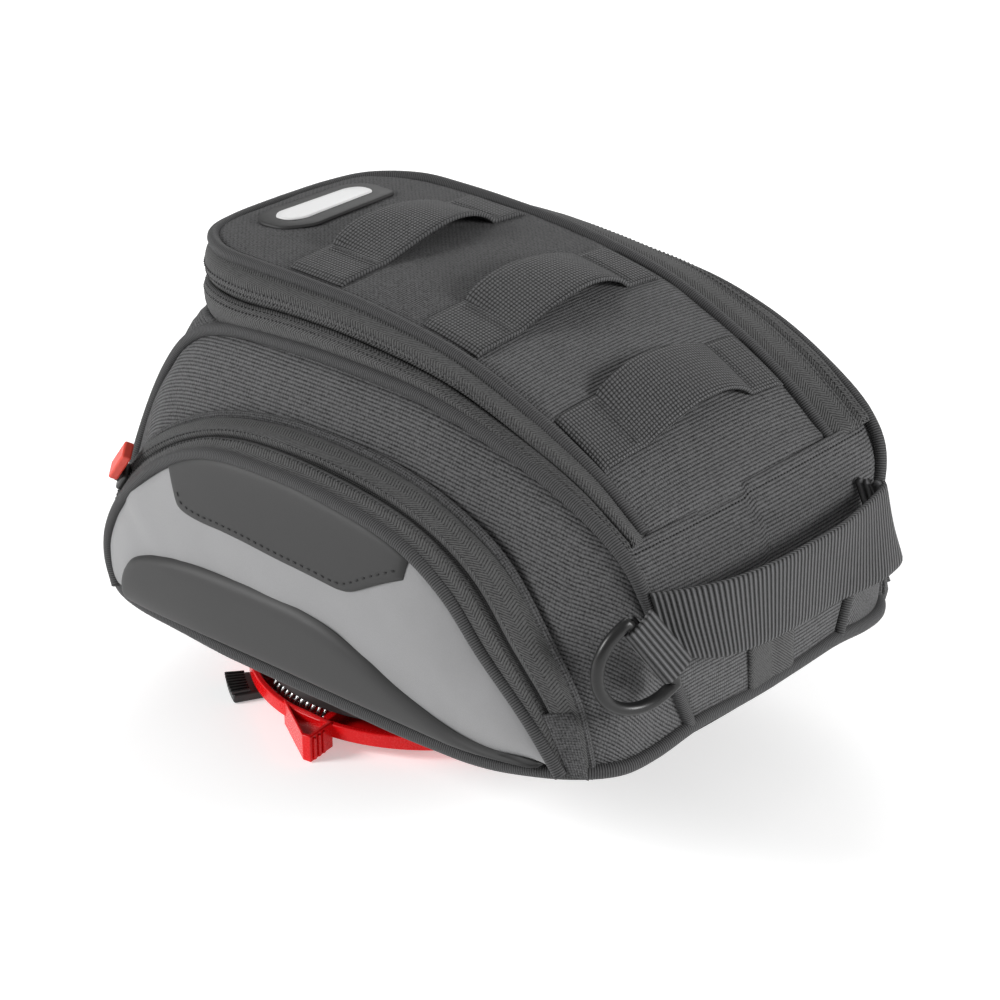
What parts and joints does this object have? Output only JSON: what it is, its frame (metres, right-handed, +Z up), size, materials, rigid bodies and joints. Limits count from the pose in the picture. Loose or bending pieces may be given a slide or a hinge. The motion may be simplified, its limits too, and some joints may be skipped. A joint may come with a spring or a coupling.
{
  "type": "motorcycle tank bag",
  "caption": "Lidded motorcycle tank bag with side pockets, webbing loops, a front grab handle and a spring-loaded quick-release lock ring underneath.",
  "frame": {"origin": "centre of the overall box, on the surface that the lock ring stands on", "axes": "+X towards the front, the low end with the grab handle; +Z up; the bag is symmetric about Y = 0 apart from the lock ring's tabs and one D ring"},
  "size_m": [0.2787, 0.2182, 0.1871],
  "materials": {
    "ripstop": "dark grey ripstop nylon, matt",
    "weave": "dark grey plain weave, matt",
    "zip_tape": "black herringbone tape, matt",
    "webbing": "ribbed nylon webbing, matt",
    "piping": "ribbed bias tape over a cord, matt",
    "moulded_rubber": "matt moulded rubber",
    "reflective": "grey reflective film on fabric, soft sheen",
    "badge": "light grey moulded plate on a dark base",
    "foam": "closed-cell foam",
    "board": "stiffener board",
    "black_plastic": "black glass-filled plastic",
    "red_plastic": "gloss red plastic",
    "red_rubber": "semi-gloss red moulded pull",
    "zip_metal": "black coated slider",
    "black_wire": "satin black wire",
    "steel": "bright steel"
  },
  "bodies": {
    "bag": {"side_panel_left": "ripstop", "side_panel_right": "ripstop", "front_panel": "ripstop", "pocket_end_tab_left": "ripstop", "pocket_end_tab_right": "ripstop", "rear_panel": "weave", "base_panel": "weave", "base_piping": "piping", "side_piping_left": "piping", "side_piping_right": "piping", "body_zip_tape": "zip_tape", "pocket_inner_tape_left": "zip_tape", "pocket_inner_tape_right": "zip_tape", "front_tape": "webbing", "d_ring_loop_left": "webbing", "base_board": "board", "lock_base": "black_plastic", "lock_spacer": "black_plastic", "main_slider": "zip_metal", "lock_screw_1": "steel", "lock_screw_2": "steel", "lock_screw_3": "steel", "lock_screw_4": "steel", "lock_backing_plate": "steel"},
    "lid": {"lid_panel": "weave", "lid_foam": "foam", "lid_piping": "piping", "lid_zip_tape": "zip_tape", "lid_strap_front": "webbing", "lid_strap_middle": "webbing", "lid_strap_rear": "webbing", "lid_badge": "badge"},
    "lock_ring": {"lock_ring": "red_plastic", "lock_spring": "steel"},
    "grab_handle": {"grab_handle": "webbing"},
    "d_ring": {"d_ring_left": "black_wire"},
    "pocket_cover_left": {"pocket_outer_tape_left": "zip_tape", "pocket_piping_left": "piping", "pocket_face_left": "reflective", "pocket_guard_left": "moulded_rubber", "pocket_patch_left": "moulded_rubber", "pocket_left_slider": "zip_metal"},
    "pocket_cover_right": {"pocket_outer_tape_right": "zip_tape", "pocket_piping_right": "piping", "pocket_face_right": "reflective", "pocket_guard_right": "moulded_rubber", "pocket_patch_right": "moulded_rubber", "pocket_right_slider": "zip_metal"},
    "pocket_pull_left": {"pocket_left_pull": "red_rubber"},
    "pocket_pull_right": {"pocket_right_pull": "red_rubber"},
    "main_pull": {"main_pull": "red_rubber"}
  },
  "joints": [
    {"name": "lid_hinge", "type": "hinge", "parent": "bag", "child": "lid", "pos_m": [0.1075, 0, 0.1235], "axis": [0, 1, 0], "range_deg": [0, 100]},
    {"name": "lock_release", "type": "hinge", "parent": "bag", "child": "lock_ring", "pos_m": [-0.036, 0, 0], "axis": [0, 0, 1], "range_deg": [-10, 0], "stiffness_Nm_per_rad": 0.6, "springref_deg": 20.05, "deforming": ["lock_spring"]},
    {"name": "handle_flip", "type": "hinge", "parent": "bag", "child": "grab_handle", "pos_m": [0.1215, 0, 0.097], "axis": [0, 1, 0], "range_deg": [-12, 15]},
    {"name": "d_ring_swing", "type": "hinge", "parent": "bag", "child": "d_ring", "pos_m": [0.126, -0.0725, 0.092], "axis": [0.093, 0.434, -0.8961], "range_deg": [-90, 0]},
    {"name": "pocket_left_open", "type": "hinge", "parent": "bag", "child": "pocket_cover_left", "pos_m": [0, -0.0965, 0.049], "axis": [1, 0, 0], "range_deg": [0, 35]},
    {"name": "pocket_right_open", "type": "hinge", "parent": "bag", "child": "pocket_cover_right", "pos_m": [0, 0.0965, 0.049], "axis": [1, 0, 0], "range_deg": [-35, 0]},
    {"name": "pocket_left_pull_swing", "type": "hinge", "parent": "pocket_cover_left", "child": "pocket_pull_left", "pos_m": [-0.10095, -0.09699, 0.09622], "axis": [0.5692, -0.6875, -0.4509], "range_deg": [0, 120]},
    {"name": "pocket_right_pull_swing", "type": "hinge", "parent": "pocket_cover_right", "child": "pocket_pull_right", "pos_m": [-0.10095, 0.09699, 0.09622], "axis": [-0.5692, -0.6875, 0.4509], "range_deg": [0, 120]},
    {"name": "main_pull_swing", "type": "hinge", "parent": "bag", "child": "main_pull", "pos_m": [-0.1188, 0, 0.16], "axis": [0, 0, 1], "range_deg": [0, 120]}
  ]
}
